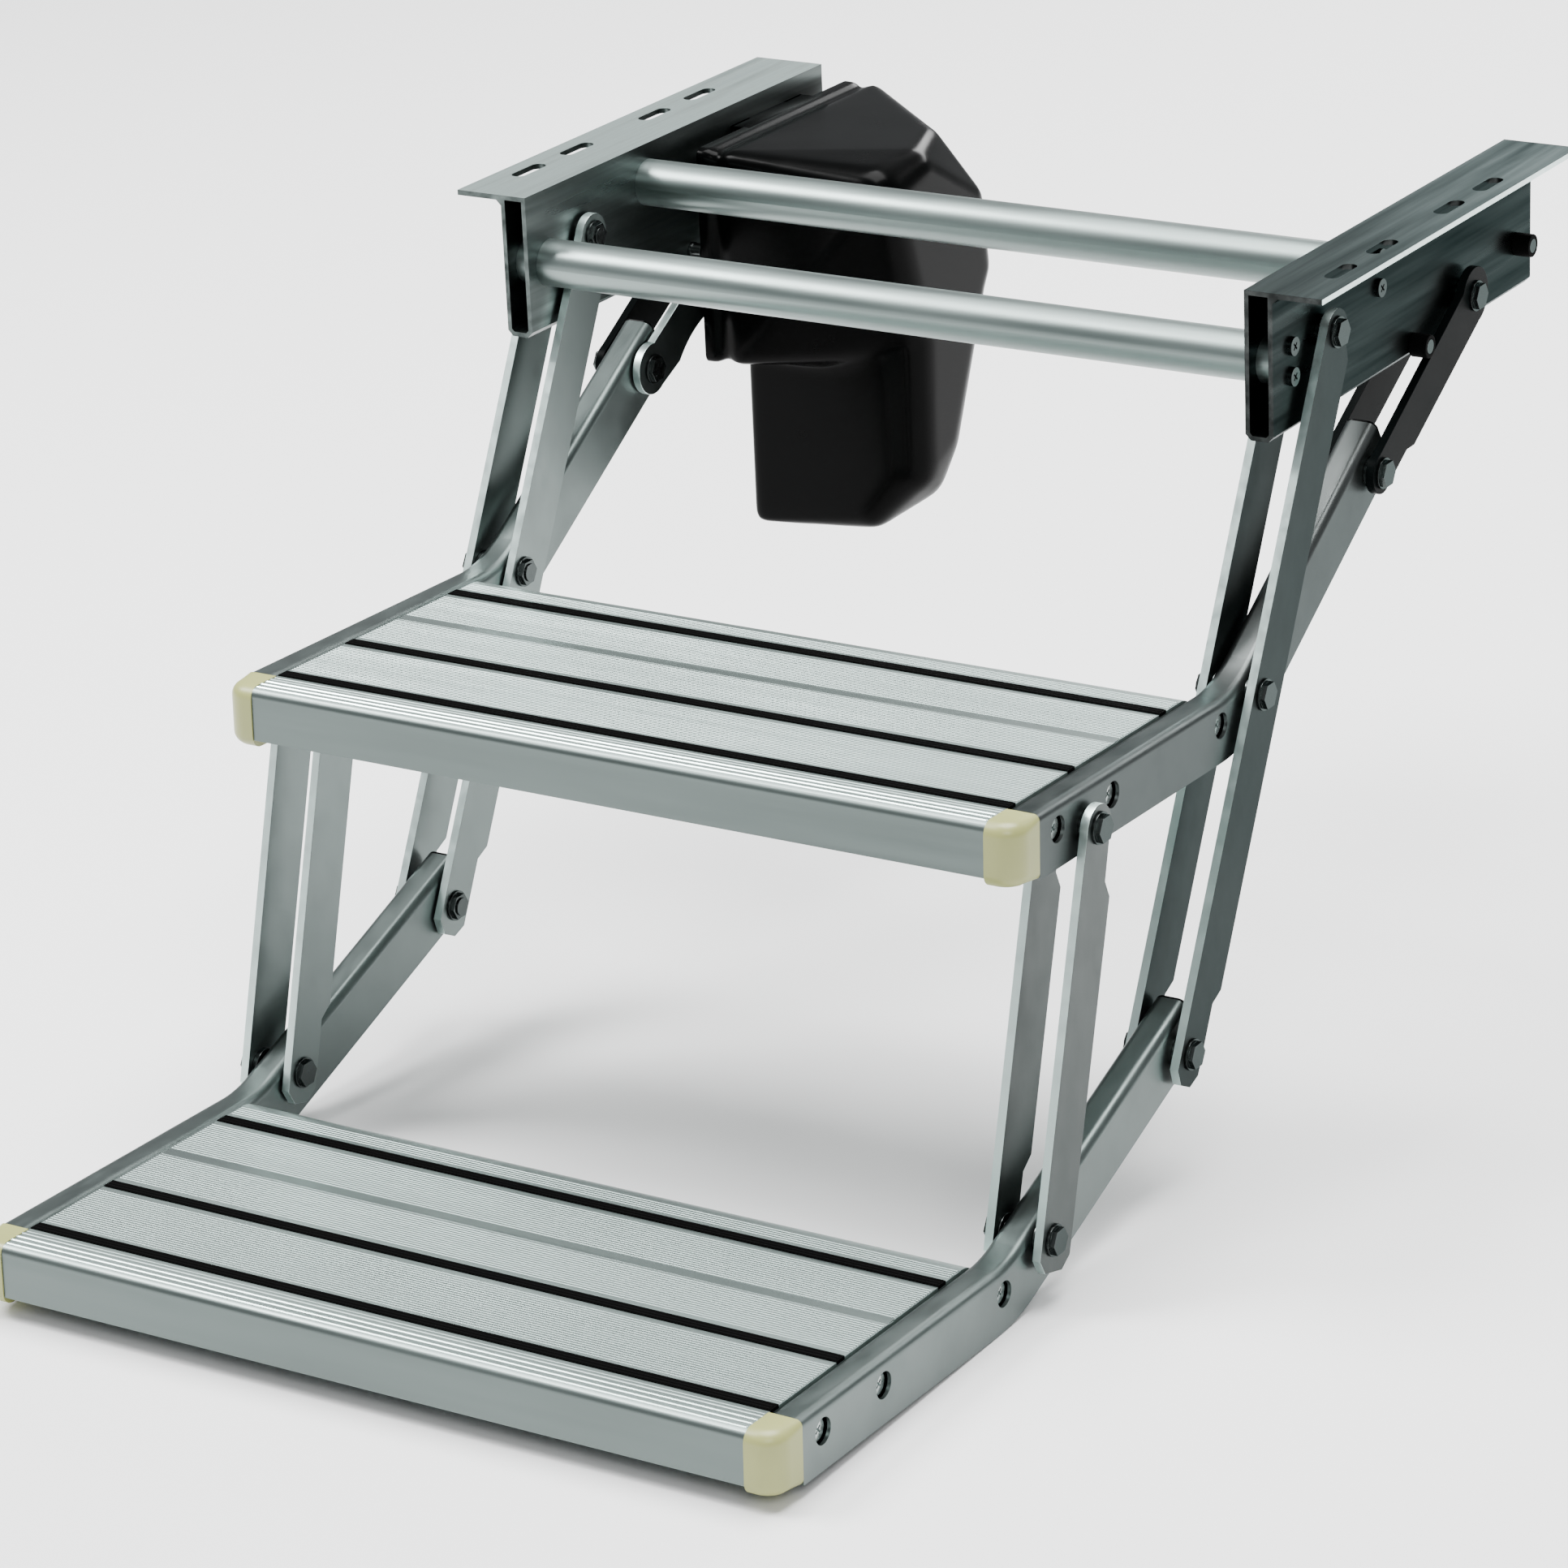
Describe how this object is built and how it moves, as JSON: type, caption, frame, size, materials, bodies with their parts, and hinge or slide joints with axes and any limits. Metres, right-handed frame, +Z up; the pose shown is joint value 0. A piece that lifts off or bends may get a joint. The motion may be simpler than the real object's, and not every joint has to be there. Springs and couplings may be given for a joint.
{
  "type": "caravan entry step",
  "caption": "Folding double entry step for a caravan: two slotted rails with cross tubes, flat-bar linkage, two ribbed treads and a motor under a moulded cover.",
  "frame": {"origin": "centre of the four outer flange slots, on the face that meets the vehicle floor", "axes": "+Z up out of the mounting face; +X outwards, the way the step unfolds; +Y to the right seen from the front"},
  "size_m": [0.8425, 0.5314, 0.4516],
  "materials": {
    "aluminium": "mill finish, satin",
    "steel": "zinc plated",
    "black_paint": "satin black",
    "dark_metal": "satin",
    "black_plastic": "fine grain",
    "cream_plastic": "satin",
    "rubber": "ribbed"
  },
  "bodies": {
    "frame": {"left_rail": "aluminium", "right_rail": "aluminium", "front_tube": "aluminium", "rear_tube": "aluminium", "tube_screws": "steel", "rail_sleeves": "steel", "stop_studs": "steel", "stop_buffers": "rubber", "rail_spacers": "steel", "rail_pivot_bolts": "steel", "rail_pivot_nuts": "steel", "motor_bracket": "steel", "bracket_bolts": "steel", "gearbox": "dark_metal", "motor": "dark_metal", "motor_cover": "black_plastic", "cover_screws": "steel"},
    "front_arms": {"left_outer_arm": "aluminium", "left_inner_arm": "aluminium", "right_outer_arm": "aluminium", "right_inner_arm": "aluminium"},
    "rear_links": {"left_outer_rear_link": "black_paint", "drive_link": "aluminium", "right_outer_rear_link": "black_paint", "right_inner_rear_link": "black_paint", "knee_bolts": "steel", "knee_washers": "steel", "drive_shaft": "steel"},
    "upper_step": {"upper_left_side": "aluminium", "upper_right_side": "aluminium", "upper_tread": "aluminium", "upper_strips": "rubber", "upper_left_cap": "cream_plastic", "upper_right_cap": "cream_plastic", "upper_end_plugs": "black_plastic", "upper_tread_screws": "steel", "upper_sleeves": "steel", "upper_pivot_bolts": "steel", "upper_pivot_nuts": "steel", "upper_washers": "steel"},
    "lower_links": {"left_outer_low_link": "aluminium", "left_inner_low_link": "aluminium", "right_outer_low_link": "aluminium", "right_inner_low_link": "aluminium", "low_link_bolts": "steel", "low_link_washers": "steel"},
    "lower_step": {"lower_left_side": "aluminium", "lower_right_side": "aluminium", "lower_tread": "aluminium", "lower_strips": "rubber", "lower_left_cap": "cream_plastic", "lower_right_cap": "cream_plastic", "lower_end_plugs": "black_plastic", "lower_tread_screws": "steel", "lower_sleeves": "steel", "lower_pivot_bolts": "steel", "lower_pivot_nuts": "steel", "lower_washers": "steel"}
  },
  "joints": [
    {"name": "fold", "type": "hinge", "parent": "frame", "child": "front_arms", "pos_m": [0.084, 0, -0.035], "axis": [0, 1, 0], "range_deg": [0, 80]},
    {"name": "rear_link_turn", "type": "hinge", "parent": "frame", "child": "rear_links", "pos_m": [-0.086, 0, -0.062], "axis": [0, 1, 0], "range_deg": [0, 139.5]},
    {"name": "upper_step_turn", "type": "hinge", "parent": "front_arms", "child": "upper_step", "pos_m": [0.17215, 0, -0.20595], "axis": [0, 1, 0], "range_deg": [-85.5, 0]},
    {"name": "lower_step_turn", "type": "hinge", "parent": "front_arms", "child": "lower_step", "pos_m": [0.25836, 0, -0.37518], "axis": [0, 1, 0], "range_deg": [-99, 0]},
    {"name": "lower_link_turn", "type": "hinge", "parent": "upper_step", "child": "lower_links", "pos_m": [0.35161, 0, -0.21518], "axis": [0, 1, 0], "range_deg": [0, 78.8]}
  ],
  "couplings": [
    {"joint": "rear_link_turn", "follows": "fold", "ratio": 1.7414},
    {"joint": "upper_step_turn", "follows": "fold", "ratio": -1.0674},
    {"joint": "lower_step_turn", "follows": "fold", "ratio": -1.2362},
    {"joint": "lower_link_turn", "follows": "fold", "ratio": 0.9835}
  ]
}
